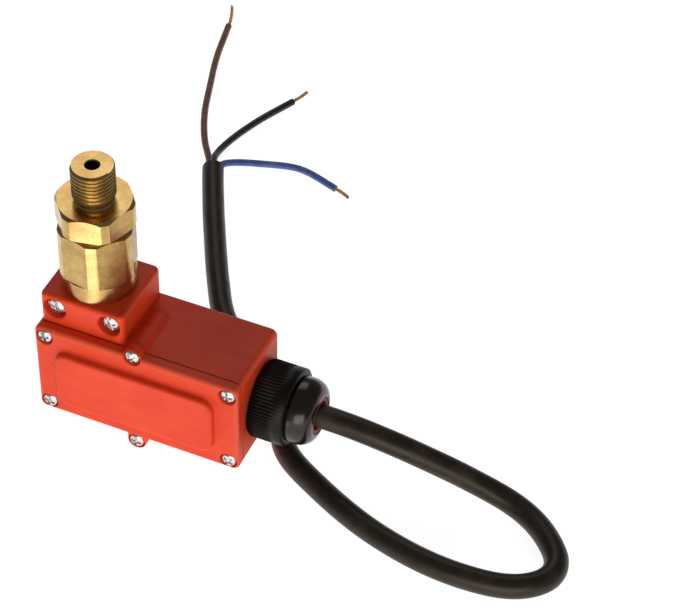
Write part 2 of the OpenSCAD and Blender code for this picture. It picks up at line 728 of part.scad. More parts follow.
module cable() { color(black_c) tube(cable_path, cable_d / 2, 12); }
module core_brown() { color([0.36, 0.20, 0.12]) tube(brown_path, core_d / 2, 8); }
module core_black() { color([0.08, 0.08, 0.08]) tube(black_path, core_d / 2, 8); }
module core_blue() { color([0.16, 0.28, 0.62]) tube(blue_path, core_d / 2, 8); }
module copper_brown() { color(copper_c) tube(brown_end, copper_d / 2, 8); }
module copper_black() { color(copper_c) tube(black_end, copper_d / 2, 8); }
module copper_blue() { color(copper_c) tube(blue_end, copper_d / 2, 8); }

port_stem();
joint_washer();
spring_body();
neck_seal();
adjuster_ring();
piston();
piston_seal();
spring_guide();
main_spring();
housing();
clamp_screws();
cover_gasket();
cover();
cover_screws();
switch_case();
switch_lid();
switch_screws();
switch_button();
contact_leaf();
leaf_pin();
terminal_common();
terminal_closed();
terminal_open();
crimp_receptacles();
lead_common();
lead_closed();
lead_open();
gland_washer();
gland_body();
thrust_ring();
gland_seal();
gland_nut();
cable_tail();
cable();
core_brown();
core_black();
core_blue();
copper_brown();
copper_black();
copper_blue();
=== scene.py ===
"""Looks of the pressure switch: every visible piece is built in millimetres, then scaled to metres."""
import json
import math

import bmesh
import bpy
from mathutils import Matrix, Vector


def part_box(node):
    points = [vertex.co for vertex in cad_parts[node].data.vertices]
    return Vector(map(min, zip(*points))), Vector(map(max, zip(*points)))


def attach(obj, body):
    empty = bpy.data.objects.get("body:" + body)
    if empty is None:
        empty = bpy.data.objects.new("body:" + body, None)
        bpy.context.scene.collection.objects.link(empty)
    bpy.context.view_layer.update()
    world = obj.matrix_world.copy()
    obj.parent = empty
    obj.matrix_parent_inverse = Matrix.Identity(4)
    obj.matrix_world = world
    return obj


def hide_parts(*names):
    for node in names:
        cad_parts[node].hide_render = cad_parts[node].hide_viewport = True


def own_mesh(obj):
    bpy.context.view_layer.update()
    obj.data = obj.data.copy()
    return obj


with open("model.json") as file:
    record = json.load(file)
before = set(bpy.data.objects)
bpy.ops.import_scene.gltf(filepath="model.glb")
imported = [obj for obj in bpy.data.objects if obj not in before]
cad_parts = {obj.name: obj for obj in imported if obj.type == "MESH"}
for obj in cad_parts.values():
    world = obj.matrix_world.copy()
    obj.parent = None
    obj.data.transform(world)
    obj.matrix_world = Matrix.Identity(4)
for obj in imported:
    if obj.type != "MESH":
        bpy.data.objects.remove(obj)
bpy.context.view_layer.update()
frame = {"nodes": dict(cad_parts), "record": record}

MM = 0.001


def low(node):
    """Lowest corner of a CAD node, in millimetres."""
    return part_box(node)[0] / MM


def high(node):
    """Highest corner of a CAD node, in millimetres."""
    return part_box(node)[1] / MM


# ---- sizes ----
# Heights on the thread's axis, and the box's faces, all read from the frame
TIP = high("port_stem").z
MALE_END = low("port_stem").z
COLLAR_FOOT = high("joint_washer").z
BODY_TOP = high("spring_body").z
NECK_END = low("spring_body").z
HEAD_TOP = high("housing").z
COVER_LOW, COVER_HIGH = low("cover"), high("cover")
BOX_FRONT = low("housing").y
BOX_BACK = high("housing").y
GLAND_LOW, GLAND_HIGH = low("gland_body"), high("gland_body")
GLAND_Z = (GLAND_LOW.z + GLAND_HIGH.z) / 2
MOUTH = high("gland_nut").x
FLOOR = low("cable").z

THREAD_R = frame["record"]["mounts"][0]["dims"]["r_mm"]
PORT_R = frame["record"]["mounts"][1]["dims"]["r_mm"]
PITCH = 1.337          # the thread is taken to be G 1/4, with 19 turns to the inch
THREAD_DEPTH = 0.856
RELIEF_R = THREAD_R - 0.9
RELIEF_H = 1.5
FLAT = 11              # half of the hexagons' 22 mm
COLLAR_R = high("port_stem").x
BODY_R = high("spring_body").x
FOOT_R = 11.3
FOOT_H = 6.4
COLLAR_TURN = 12       # degrees that each hexagon is turned from having a flat on -Y
BODY_TURN = -10
NECK_R = 9.4
CHAMBER_R = 5.9
MALE_R = 7.95          # the stem's end that screws into the body
PISTON_BORE_R = 3.04
PISTON_BORE_TOP = -3
CLAMP_GROOVE_R = 7.2
CLAMP_GROOVE_HALF = 1.9
RING_GROOVE_IN = 1.2   # groove for the neck's rubber ring
RING_GROOVE_HALF = 0.9

WALL = 2
CORNER_R = 2.2
GASKET_IN = 0.4        # the gasket lies this far inside the box
BOX_TOP = high("cover_gasket").z + GASKET_IN
BOX_BOTTOM = low("cover_gasket").z - GASKET_IN
BOX_LEFT = COVER_LOW.x
BOX_RIGHT = COVER_HIGH.x
BOX_MIDDLE = (BOX_LEFT + BOX_RIGHT) / 2
HEAD_W = 27.6
COVER_FACE = -16.4     # front of the cover's rim
PANEL_FACE = COVER_LOW.y
PANEL_IN_X = 7.5       # from the box's ends to the raised panel
PANEL_IN_Z = 6.5
SCREW_IN_X = 3.4
SCREW_IN_TOP = 3.6
SCREW_IN_BOTTOM = 3
MIDDLE_X = BOX_MIDDLE - 0.9
LOBE_R = 3             # round a middle screw
RIB_L = 16
RIB_SHARES = (0.7, 0.42)    # how much of its height the top rib keeps at its front and back
BOSS_R = 3
GLAND_BOSS_R = 10.2
CORNER_SCREWS = [(x, z) for x in (BOX_LEFT + SCREW_IN_X, BOX_RIGHT - SCREW_IN_X)
                 for z in (BOX_BOTTOM + SCREW_IN_BOTTOM, BOX_TOP - SCREW_IN_TOP)]
MIDDLE_IN_TOP = 0.4
MIDDLE_OUT_BOTTOM = 2.2
MIDDLE_SCREWS = [(MIDDLE_X, BOX_TOP - MIDDLE_IN_TOP), (MIDDLE_X, BOX_BOTTOM - MIDDLE_OUT_BOTTOM)]
COVER_SCREWS = CORNER_SCREWS + MIDDLE_SCREWS
COVER_SEAT_IN = 1.7
COVER_SEAT = COVER_FACE + COVER_SEAT_IN
COVER_HEAD_R = 2.6
CLAMP_SEAT = BOX_FRONT + 3
CLAMP_HEAD_R = 3.2
CLAMP_HOLE_R = CLAMP_HEAD_R + 0.5
CLAMP_X = 8.99
CLAMP_Z = HEAD_TOP - 5

CABLE_R = 3.7
CORE_R = 1.2
COPPER_R = 0.65

# Routes of the cord, the same points as in the design
CABLE_PATH = [
    (72, 0, -60), (79, 0, -60), (86, 0.1, -60.6), (92.2, 0.5, -61.8), (98.1, 1.3, -63.5),
    (103.7, 2.3, -65.7), (109.6, 3.6, -68.3), (115.1, 4.8, -70.9), (120.7, 5.8, -73.6),
    (126.5, 6.4, -75.9), (132.5, 5.9, -77.5), (138.4, 3.9, -78.4), (144.1, 0.1, -78.7),
    (149.1, -5.2, -78.7), (151.1, -8.5, -78.7), (151.9, -12.1, -78.7), (151.1, -15.7, -78.7),
    (148.7, -18.9, -78.7), (144.5, -22.1, -78.7), (138.8, -24.1, -78.7), (132.8, -24.9, -78.7),
    (126.7, -25.2, -78.7), (120.5, -25, -78.7), (114.3, -24.3, -78.7), (107.9, -23.1, -78.7),
    (101.6, -21.5, -78.7), (95.1, -19.5, -78.7), (88.8, -17, -78.7), (82.3, -14.1, -78.7),
    (75.9, -10.8, -78.7), (69, -7.2, -78.7), (62.2, -2.8, -78.7), (57.6, 3, -78.7),
    (56.8, 10, -78.7), (56.2, 15.8, -78.7), (53.1, 21.6, -78.7), (47.1, 26.1, -78.7), (39.5, 29.2, -78.7),
    (32, 32.8, -78.7), (25.6, 37, -78.7), (20.2, 42, -78.7), (16.1, 47.6, -78.7),
    (12.8, 53.4, -78.7), (9.3, 59.4, -78.7), (5.1, 67.1, -78.7), (0.6, 75.6, -78.7),
    (-3.9, 84.1, -78.7), (-8.4, 93.1, -78.7), (-12.4, 101.1, -78.7), (-14.9, 106.6, -78.7)]
CORE_PATHS = {
    "brown": [(-16.2, 106.4, -79.4), (-17.6, 109.7, -79.8), (-20.4, 114.1, -80.6),
              (-24.4, 119.6, -81), (-28.4, 127.1, -81), (-32.4, 136.1, -81), (-35.9, 147.6, -81),
              (-39.4, 158.1, -81), (-41.9, 167.1, -81), (-43.4, 175.1, -81), (-44.9, 182.1, -81)],
    "black": [(-15, 106.9, -77.2), (-16.4, 110.1, -77.6), (-17.7, 114.6, -79.8),
              (-17.9, 120.6, -81), (-16.1, 128.1, -81), (-13.9, 134.6, -81), (-11.4, 141.1, -81),
              (-8.4, 147.3, -81), (-5.9, 152.6, -81)],
    "blue": [(-13.9, 107.3, -79.4), (-14.1, 110.6, -79.8), (-11.9, 113.6, -80.6),
             (-7.4, 116.1, -81), (-0.9, 118.1, -81), (5.1, 120.1, -81), (11.1, 121.1, -81),
             (16.6, 119.9, -81), (21.6, 118.1, -81), (26.1, 116.6, -81)]}
COPPER_PATHS = {
    "brown": [(-44.9, 182.1, -81), (-45.5, 184.9, -81), (-46.9, 189.1, -81), (-48.9, 193.5, -81)],
    "black": [(-5.9, 152.6, -81), (-4.4, 156.1, -81), (-3.4, 159.6, -81)],
    "blue": [(26.1, 116.6, -81), (29.1, 115.6, -81), (32.1, 114.1, -81)]}
LEAD_PATHS = {
    "lead_common": [(22, 0, -68.5), (26, 0, -68.5), (31, 0, -67.5), (36, 0.4, -64.5),
                    (39.5, 1, -61.8), (42, 1.2, -60.7), (43.4, 1.2, -60.7)],
    "lead_open": [(4.4, -7.2, -69), (4.4, -7.8, -69), (6, -9, -69), (9, -9.2, -69),
                  (16, -8.6, -69), (24, -6.5, -67.5), (32, -3.5, -64), (39, -1.6, -61.4),
                  (42, -1.2, -60.7), (43.4, -1.2, -60.7)],
    "lead_closed": [(-1.6, 0, -73.6), (3, 0, -73.6), (8, 3, -73.6), (12, 5.2, -73),
                    (16, 5.6, -72.4), (20, 5.6, -71.6), (26, 5, -69), (31, 4, -65.2),
                    (36, 2.4, -61), (39, 0.8, -58.9), (42, 0, -58.6), (43.4, 0, -58.6)]}


# ---- shader writing ----

class Value:
    """A shader socket that Python's operators work on."""

    def __init__(self, shader, socket):
        self.shader = shader
        self.socket = socket

    def math(self, operation, *others):
        return self.shader.node("ShaderNodeMath", {"operation": operation}, [self, *others])

    def __add__(self, other):
        return self.math("ADD", other)

    def __sub__(self, other):
        return self.math("SUBTRACT", other)

    def __mul__(self, other):
        return self.math("MULTIPLY", other)

    def __pow__(self, other):
        return self.math("POWER", other)

    __radd__ = __add__


class Shader:
    """A material whose nodes are written as expressions."""

    def __init__(self, name, **fixed):
        self.material = bpy.data.materials.new(name)
        self.material.use_nodes = True
        self.tree = self.material.node_tree
        self.surface = self.tree.nodes["Principled BSDF"]
        for socket, value in fixed.items():
            self.surface.inputs[socket.replace("_", " ")].default_value = value
        self.place = self.node("ShaderNodeTexCoord", output="Object")

    def feed(self, socket, value):
        if isinstance(value, Value):
            self.tree.links.new(value.socket, socket)
        else:
            socket.default_value = value

    def node(self, kind, settings=None, values=(), output=0):
        made = self.tree.nodes.new(kind)
        for name, value in (settings or {}).items():
            setattr(made, name, value)
        pairs = values.items() if isinstance(values, dict) else enumerate(values)
        for key, value in pairs:
            self.feed(made.inputs[key], value)
        return Value(self, made.outputs[output])

    def show(self, **sockets):
        for socket, value in sockets.items():
            self.feed(self.surface.inputs[socket.replace("_", " ")], value)

    def noise(self, size, detail=3, stretch=(1, 1, 1), roughness=0.55):
        """Cloudy pattern from 0 to 1, with features of about size millimetres."""
        place = self.place
        if stretch != (1, 1, 1):
            place = self.node("ShaderNodeMapping", values={"Vector": place, "Scale": stretch})
        return self.node("ShaderNodeTexNoise", values={
            "Vector": place, "Scale": 1 / (size * MM), "Detail": detail, "Roughness": roughness})

    def ramp(self, value, start, end, to_start=0.0, to_end=1.0):
        """Maps value from start..end to to_start..to_end with soft ends."""
        return self.node("ShaderNodeMapRange", {"interpolation_type": "SMOOTHSTEP"},
                         [value, start, end, to_start, to_end])

    def mix(self, share, first, second):
        """first where share is 0, second where it is 1; both are colours."""
        return self.node("ShaderNodeMix", {"data_type": "RGBA"}, {0: share, 6: first, 7: second}, 2)

    def axes(self):
        """x, y and z on the object, in millimetres."""
        split = self.node("ShaderNodeSeparateXYZ", values=[self.place]).socket.node
        return [Value(self, split.outputs[i]) * (1 / MM) for i in range(3)]

    def bump(self, height, depth, strength=1.0):
        """Relief where height goes from 0 to 1 over depth millimetres."""
        return self.node("ShaderNodeBump", values={
            "Height": height, "Distance": depth * MM, "Strength": strength})


def rgb(red, green, blue):
    return (red, green, blue, 1.0)


def brass():
    """Turned and milled brass: satin, faintly mottled, with fine tool lines and dark specks."""
    s = Shader("satin_brass", Metallic=1.0)
    cloud = s.noise(5, 4)
    fine = s.noise(0.5, 3)
    lines = s.noise(0.12, 2, (0.02, 0.02, 1))
    specks = s.ramp(s.noise(0.45, 2), 0.70, 0.76)
    tone = s.mix(s.ramp(cloud, 0.3, 0.7), rgb(0.44, 0.27, 0.095), rgb(0.60, 0.41, 0.155))
    tone = s.mix(s.ramp(fine, 0.42, 0.75, 0, 0.35), tone, rgb(0.28, 0.155, 0.045))
    tone = s.mix(specks * 0.6, tone, rgb(0.16, 0.09, 0.03))
    s.show(Base_Color=tone, Roughness=0.15 + cloud * 0.10 + fine * 0.08 + specks * 0.2,
           Normal=s.bump(lines * 0.5 + fine * 0.6, 0.012))
    return s.material


def spring_brass():
    s = Shader("rolled_brass", Metallic=1.0)
    grain = s.noise(0.3, 3, (0.1, 1, 1))
    s.show(Base_Color=s.mix(grain, rgb(0.66, 0.46, 0.18), rgb(0.80, 0.60, 0.28)),
           Roughness=0.22 + grain * 0.15, Normal=s.bump(grain, 0.004))
    return s.material


def copper():
    s = Shader("bare_copper", Metallic=1.0)
    stain = s.noise(1.2, 3)
    s.show(Base_Color=s.mix(s.ramp(stain, 0.35, 0.7), rgb(0.80, 0.48, 0.22), rgb(0.50, 0.27, 0.10)),
           Roughness=0.28 + stain * 0.2, Normal=s.bump(s.noise(0.2), 0.01))
    return s.material


def steel():
    s = Shader("ground_steel", Metallic=1.0)
    scratches = s.noise(0.08, 3, (1, 1, 0.05))
    s.show(Base_Color=s.mix(scratches, rgb(0.50, 0.50, 0.51), rgb(0.66, 0.66, 0.66)),
           Roughness=0.22 + scratches * 0.14, Normal=s.bump(scratches, 0.003))
    return s.material


def zinc():
    """Bright zinc plating on pressed screw heads, with small dents and dark grime."""
    s = Shader("zinc_plate", Metallic=1.0)
    cloud = s.noise(0.9, 4)
    grime = s.ramp(s.noise(0.5, 3), 0.56, 0.70)
    tone = s.mix(cloud, rgb(0.55, 0.54, 0.52), rgb(0.78, 0.77, 0.75))
    s.show(Base_Color=s.mix(grime * 0.55, tone, rgb(0.22, 0.20, 0.18)),
           Roughness=0.16 + cloud * 0.16 + grime * 0.2, Normal=s.bump(cloud, 0.05))
    return s.material


def to_nearer(place, first, last):
    """Distance from a coordinate to the nearer of two levels."""
    return ((place - (first + last) / 2).math("ABSOLUTE") - (last - first) / 2).math("ABSOLUTE")


def red_plastic():
    """Glass-filled red moulding: satin, finely grained, with a painted highlight that makes every edge paler
    and pinker.
    """
    s = Shader("red_moulding", IOR=1.35)
    cloud = s.noise(14, 4)
    flow = s.noise(3.5, 4, (0.35, 1, 1))
    grain = s.noise(0.35, 3)
    pits = s.ramp(s.noise(0.8, 2), 0.70, 0.78)
    x, y, z = s.axes()
    # the second smallest distance to a face is small only along an edge
    dx = to_nearer(x, BOX_LEFT, BOX_RIGHT)
    dy = to_nearer(y, COVER_FACE, BOX_BACK)
    dz = to_nearer(z, BOX_BOTTOM, BOX_TOP)
    second = dx.math("MINIMUM", dy).math("MAXIMUM", dx.math("MAXIMUM", dy).math("MINIMUM", dz))
    # painted highlight: a mask that is 1 along every edge of the box, used to make the edges paler, pinker
    # and a little glossier
    painted_edge_highlight = s.ramp(second + flow * 1.2, 0.9, 2.4, 1, 0)
    tone = s.mix(s.ramp(cloud, 0.3, 0.7), rgb(0.66, 0.036, 0.006), rgb(0.73, 0.050, 0.009))
    tone = s.mix(s.ramp(flow, 0.35, 0.75, 0, 0.35), tone, rgb(0.80, 0.075, 0.015))
    # painted highlight: pale pink mixed into the colour along the edges
    tone = s.mix(painted_edge_highlight * 0.25, tone, rgb(0.80, 0.19, 0.10))
    tone = s.mix(pits * 0.25, tone, rgb(0.35, 0.02, 0.015))
    s.show(Base_Color=tone, Roughness=0.42 + grain * 0.14 - painted_edge_highlight * 0.05,
           Normal=s.bump(grain * 0.7 + flow * 0.5 - pits * 0.6, 0.035))
    return s.material


def black_nylon():
    s = Shader("matt_nylon", IOR=1.30, Specular_Tint=rgb(1.0, 0.86, 0.78))
    grain = s.noise(0.4, 3)
    dust = s.ramp(s.noise(2.5, 5), 0.52, 0.75)
    s.show(Base_Color=s.mix(dust * 0.4, rgb(0.003, 0.002, 0.0018), rgb(0.010, 0.007, 0.006)),
           Roughness=0.36 + grain * 0.14 + dust * 0.1, Normal=s.bump(grain, 0.02))
    return s.material


def gloss_nylon():
    s = Shader("polished_nylon", IOR=1.48, Specular_Tint=rgb(1.0, 0.88, 0.80))
    ripple = s.noise(3.0, 2)
    smear = s.noise(1.2, 4)
    s.show(Base_Color=s.mix(smear, rgb(0.005, 0.004, 0.003), rgb(0.013, 0.009, 0.007)),
           Roughness=0.14 + smear * 0.14, Normal=s.bump(ripple, 0.05))
    return s.material


def moulded(name, dark, pale, roughness):
    s = Shader(name)
    grain = s.noise(0.4, 3)
    s.show(Base_Color=s.mix(s.noise(3), rgb(*dark), rgb(*pale)),
           Roughness=roughness + grain * 0.12, Normal=s.bump(grain, 0.015))
    return s.material


def rubber(name, dark, pale):
    s = Shader(name)
    grain = s.noise(0.35, 4)
    bloom = s.ramp(s.noise(1.8, 4), 0.45, 0.75)
    s.show(Base_Color=s.mix(bloom * 0.6, rgb(*dark), rgb(*pale)),
           Roughness=0.55 + grain * 0.2, Normal=s.bump(grain, 0.03))
    return s.material


def sheath():
    """Extruded cable sheath: brown-black, satin, with soft cloudy dust."""
    s = Shader("cable_sheath", IOR=1.40, Specular_Tint=rgb(1.0, 0.85, 0.70))
    cloud = s.noise(9, 4)
    fine = s.noise(0.6, 3)
    dust = s.ramp(cloud, 0.4, 0.7)
    s.show(Base_Color=s.mix(dust, rgb(0.016, 0.011, 0.008), rgb(0.034, 0.025, 0.018)),
           Roughness=0.34 + fine * 0.12 + dust * 0.08, Normal=s.bump(cloud * 1.5 + fine * 0.2, 0.09))
    return s.material


def insulation(name, dark, pale):
    s = Shader(name, IOR=1.5)
    cloud = s.noise(4, 4)
    fine = s.noise(0.4, 3)
    s.show(Base_Color=s.mix(s.ramp(cloud, 0.35, 0.7), rgb(*dark), rgb(*pale)),
           Roughness=0.36 + fine * 0.14, Normal=s.bump(cloud + fine * 0.3, 0.04))
    return s.material


MATERIALS = {
    "brass": brass(),
    "spring_brass": spring_brass(),
    "copper": copper(),
    "steel": steel(),
    "zinc_steel": zinc(),
    "red_plastic": red_plastic(),
    "black_nylon": black_nylon(),
    "gloss_nylon": gloss_nylon(),
    "switch_plastic": moulded("switch_moulding", (0.010, 0.010, 0.011), (0.028, 0.028, 0.030), 0.30),
    "button_plastic": moulded("button_moulding", (0.42, 0.03, 0.02), (0.55, 0.05, 0.03), 0.35),
    "red_rubber": rubber("red_rubber", (0.30, 0.020, 0.028), (0.46, 0.080, 0.090)),
    "black_rubber": rubber("black_rubber", (0.010, 0.010, 0.010), (0.035, 0.034, 0.033)),
    "sheath_pvc": sheath(),
    "brown_pvc": insulation("brown_insulation", (0.17, 0.075, 0.038), (0.27, 0.125, 0.068)),
    "black_pvc": insulation("black_insulation", (0.010, 0.009, 0.008), (0.026, 0.022, 0.019)),
    "blue_pvc": insulation("blue_insulation", (0.075, 0.125, 0.42), (0.13, 0.19, 0.55)),
}


# ---- shaping ----

def turned(points, steps, closed=False):
    """A solid turned round Z from an outline of (radius, height) points."""
    bm = bmesh.new()
    verts = [bm.verts.new((radius, 0, height)) for radius, height in points]
    edges = [bm.edges.new(pair) for pair in zip(verts, verts[1:])]
    if closed:
        edges.append(bm.edges.new((verts[-1], verts[0])))
    bmesh.ops.spin(bm, geom=verts + edges, cent=(0, 0, 0), axis=(0, 0, 1), angle=2 * math.pi,
                   steps=steps, use_merge=True)
    bmesh.ops.remove_doubles(bm, verts=bm.verts, dist=1e-4)
    bmesh.ops.recalc_face_normals(bm, faces=bm.faces)
    return bm


def placed(bm, origin=(0, 0, 0), direction=(0, 0, 1)):
    """Turns a shape's Z axis to direction, and moves it to origin."""
    turn = Vector((0, 0, 1)).rotation_difference(Vector(direction)).to_matrix().to_4x4()
    bmesh.ops.transform(bm, matrix=Matrix.Translation(origin) @ turn, verts=bm.verts)
    return bm


def block(lowest, highest):
    """A plain box between two corners."""
    bm = bmesh.new()
    lowest, highest = Vector(lowest), Vector(highest)
    bmesh.ops.create_cube(bm, size=1)
    bmesh.ops.scale(bm, vec=highest - lowest, verts=bm.verts)
    bmesh.ops.translate(bm, vec=(highest + lowest) / 2, verts=bm.verts)
    return bm


def rounded(bm, radius, segments, chosen, least_angle=25):
    """Bevels the edges that chosen accepts, of those that turn by more than least_angle."""
    least = math.radians(least_angle)
    edges = [e for e in bm.edges
             if len(e.link_faces) == 2 and e.calc_face_angle(0) > least
             and chosen(*(v.co for v in e.verts))]
    bmesh.ops.bevel(bm, geom=edges, offset=radius, segments=segments, profile=0.5,
                    affect="EDGES", material=-1, clamp_overlap=True)
    return bm


def along(axis):
    """Accepts edges that run along one axis."""
    return lambda a, b: all(abs(a[i] - b[i]) < 1e-4 for i in range(3) if i != axis)


def on_plane(axis, level):
    """Accepts edges that lie in the plane where that axis is at level."""
    return lambda a, b: abs(a[axis] - level) < 1e-3 and abs(b[axis] - level) < 1e-3


def to_object(bm, name):
    mesh = bpy.data.meshes.new(name)
    bm.to_mesh(mesh)
    bm.free()
    obj = bpy.data.objects.new(name, mesh)
    bpy.context.scene.collection.objects.link(obj)
    return obj


def discard(obj):
    mesh = obj.data
    bpy.data.objects.remove(obj)
    bpy.data.meshes.remove(mesh)


def combined(first, second, operation):
    """DIFFERENCE, UNION or INTERSECT of two solids."""
    a, b = to_object(first, "first"), to_object(second, "second")
    cut = a.modifiers.new("cut", "BOOLEAN")
    cut.operation, cut.solver, cut.object = operation, "EXACT", b
    bpy.context.view_layer.update()
    evaluated = a.evaluated_get(bpy.context.evaluated_depsgraph_get())
    bm = bmesh.new()
    bm.from_mesh(evaluated.to_mesh())
    evaluated.to_mesh_clear()
    discard(a)
    discard(b)
    bmesh.ops.remove_doubles(bm, verts=bm.verts, dist=1e-3)
    bmesh.ops.dissolve_degenerate(bm, edges=bm.edges, dist=1e-3)
    return bm


def gathered(solids):
    """Several separate solids in one mesh."""
    whole = bmesh.new()
    for bm in solids:
        mesh = bpy.data.meshes.new("part")
        bm.to_mesh(mesh)
        bm.free()
        whole.from_mesh(mesh)
        bpy.data.meshes.remove(mesh)
    return whole


def piece(name, bm, node, sharp=35, flat_faces=True):
    """Makes a finished piece from a shape in millimetres, in place of a CAD node."""
    bmesh.ops.scale(bm, vec=(MM, MM, MM), verts=bm.verts)
    obj = to_object(bm, name)
    obj.data.polygons.foreach_set("use_smooth", [True] * len(obj.data.polygons))
    obj.data.set_sharp_from_angle(angle=math.radians(sharp))
    if flat_faces:
        weigh = obj.modifiers.new("even_shading", "WEIGHTED_NORMAL")
        weigh.keep_sharp = True
    return dressed(obj, node)


def dressed(obj, node):
    """Gives a piece the body of the CAD node that it stands in for and the material of that node's slot, and
    hides the node.
    """
    slot = SLOTS[node]
    obj.data.materials.clear()
    obj.data.materials.append(MATERIALS[slot])
    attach(obj, BODIES[node])
    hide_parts(node)
    return obj


SLOTS = {part["node"]: part["material_slot"] for part in frame["record"]["subparts"]}
BODIES = {node: body for body, nodes in frame["record"]["behaviour"]["bodies"].items() for node in nodes}


# ---- camera ----

CAMERA_PLACE = (0.2719, -0.4671, 0.4809)
CAMERA_DEGREES = (22.71, 44.21, 1.24)    # azimuth, elevation and roll
CAMERA_LENS = 133.45


def make_camera():
    azimuth, elevation, roll = (math.radians(angle) for angle in CAMERA_DEGREES)
    back = Vector((math.sin(azimuth) * math.cos(elevation),
                   -math.cos(azimuth) * math.cos(elevation), math.sin(elevation)))
    side = (-back).cross(Vector((0, 0, 1))).normalized()
    up = side.cross(-back)
    across = side * math.cos(roll) + up * math.sin(roll)
    data = bpy.data.cameras.new("camera")
    data.lens = CAMERA_LENS
    data.sensor_width = 36
    data.clip_start, data.clip_end = 0.01, 20
    camera = bpy.data.objects.new("camera", data)
    bpy.context.scene.collection.objects.link(camera)
    turn = Matrix((across, back.cross(across), back)).transposed()
    camera.matrix_world = Matrix.Translation(CAMERA_PLACE) @ turn.to_4x4()
    bpy.context.scene.camera = camera


# ---- cords ----

def curve_through(name, points, radius, sides=4):
    """A round tube along a smooth curve that the points shape."""
    data = bpy.data.curves.new(name, "CURVE")
    data.dimensions = "3D"
    data.bevel_depth = radius * MM
    data.bevel_resolution = sides
    data.use_fill_caps = True
    data.resolution_u = 10
    spline = data.splines.new("NURBS")
    spline.points.add(len(points) - 1)
    for target, point in zip(spline.points, points):
        target.co = (*(Vector(point) * MM), 1)
    spline.order_u = 4
    spline.use_endpoint_u = True
    obj = bpy.data.objects.new(name, data)
    bpy.context.scene.collection.objects.link(obj)
    return obj


def tube_mesh(name, points, radius, sides=4):
    """The same tube as a closed mesh."""
    curve = curve_through(name + "_line", points, radius, sides)
    bpy.context.view_layer.update()
    mesh = bpy.data.meshes.new_from_object(curve.evaluated_get(bpy.context.evaluated_depsgraph_get()))
    bpy.data.objects.remove(curve)
    mesh.name = name
    obj = bpy.data.objects.new(name, mesh)
    bpy.context.scene.collection.objects.link(obj)
    mesh.polygons.foreach_set("use_smooth", [True] * len(mesh.polygons))
    return obj


def copper_strands(name, path):
    """A twist of bare wires: six round one, with slightly uneven ends."""
    strand_r = COPPER_R / 3
    start, end = Vector(path[0]), Vector(path[-1])
    steps = 14
    strands = []
    for k in range(7):
        ring = 0 if k == 6 else COPPER_R - strand_r
        reach = 1.0 if k == 6 else 0.93 + 0.07 * math.cos(2.3 * k)
        points = []
        for i in range(steps + 1):
            t = i / steps * reach
            spot = along_path(path, t)
            heading = (end - start).normalized()
            side = heading.cross(Vector((0, 0, 1)))
            turn = 2 * math.pi * (k / 6 + 0.9 * t)
            points.append(spot + ring * (math.cos(turn) * side + math.sin(turn) * Vector((0, 0, 1))))
        strands.append(tube_mesh(f"strand_{k}", points, strand_r, 2))
    bm = bmesh.new()
    for strand in strands:
        bm.from_mesh(strand.data)
        discard(strand)
    obj = to_object(bm, name)
    obj.data.polygons.foreach_set("use_smooth", [True] * len(obj.data.polygons))
    return obj


def along_path(path, share):
    """The point at a share of the way along straight stretches between points."""
    points = [Vector(p) for p in path]
    lengths = [(b - a).length for a, b in zip(points, points[1:])]
    left = share * sum(lengths)
    for a, b, length in zip(points, points[1:], lengths):
        if left <= length:
            return a.lerp(b, left / length)
        left -= length
    return points[-1]


def make_cords():
    cable = dressed(curve_through("cable_sheath", CABLE_PATH, CABLE_R, 8), "cable")
    for colour, path in CORE_PATHS.items():
        ends = dressed(copper_strands("strands_" + colour, COPPER_PATHS[colour]), "copper_" + colour)
        core = dressed(curve_through("insulation_" + colour, path, CORE_R, 6), "core_" + colour)
    for node, path in LEAD_PATHS.items():
        dressed(tube_mesh(node + "_wire", path, CORE_R - 0.05), node)


make_camera()
make_cords()


# ---- fitting ----

def hexagon_ring(foot, top, turn):
    """A tool that leaves a hexagon standing between two heights."""
    corner = FLAT / math.cos(math.pi / 6)
    outside = turned([(0, foot), (FLAT * 2, foot), (FLAT * 2, top), (0, top)], 24)
    inside = bmesh.new()
    bmesh.ops.create_cone(inside, cap_ends=True, segments=6, radius1=corner, radius2=corner,
                          depth=top - foot + 2)
    bmesh.ops.rotate(inside, cent=(0, 0, 0), matrix=Matrix.Rotation(math.radians(turn + 30), 3, "Z"),
                     verts=inside.verts)
    bmesh.ops.translate(inside, vec=(0, 0, (top + foot) / 2), verts=inside.verts)
    return combined(outside, inside, "DIFFERENCE")


